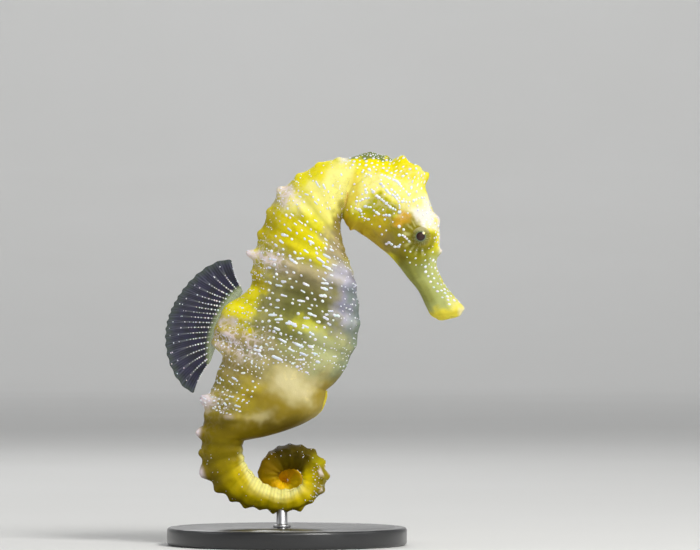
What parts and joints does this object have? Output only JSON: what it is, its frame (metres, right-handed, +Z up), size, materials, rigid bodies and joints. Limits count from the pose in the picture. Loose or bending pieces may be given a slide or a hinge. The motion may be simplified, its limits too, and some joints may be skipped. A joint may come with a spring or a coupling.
{
  "type": "seahorse",
  "caption": "Still life-size model of an adult male lined seahorse, yellow with pale dots, head bowed and tail coiled, held by a round display stand with a short rod.",
  "frame": {"origin": "on the floor under the middle of the whole model, at the underside of the stand", "axes": "+Z up, +X towards the head and snout, -Y towards the animal's right flank"},
  "size_m": [0.0595, 0.048, 0.0779],
  "materials": {
    "skin": "moist fish skin over bony rings, yellow to olive with pale saddles and white dots",
    "fin": "thin clear fin membrane with fine rays and white beads",
    "eye": "wet glossy eye, gold-green iris and dark pupil",
    "stand_base": "black satin lacquer",
    "stand_rod": "brushed"
  },
  "bodies": {
    "root": {"snout": "skin", "head": "skin", "coronet": "skin", "neck": "skin", "trunk_upper": "skin", "trunk_lower": "skin", "pouch": "skin", "tail_base": "skin", "tail_1": "skin", "tail_2": "skin", "tail_3": "skin", "tail_4": "skin", "tail_5": "skin", "tail_6": "skin", "pectoral_fin_right": "fin", "pectoral_fin_left": "fin", "dorsal_fin": "fin", "anal_fin": "fin", "eye_right": "eye", "eye_left": "eye", "stand_base": "stand_base", "stand_rod": "stand_rod"}
  },
  "joints": []
}
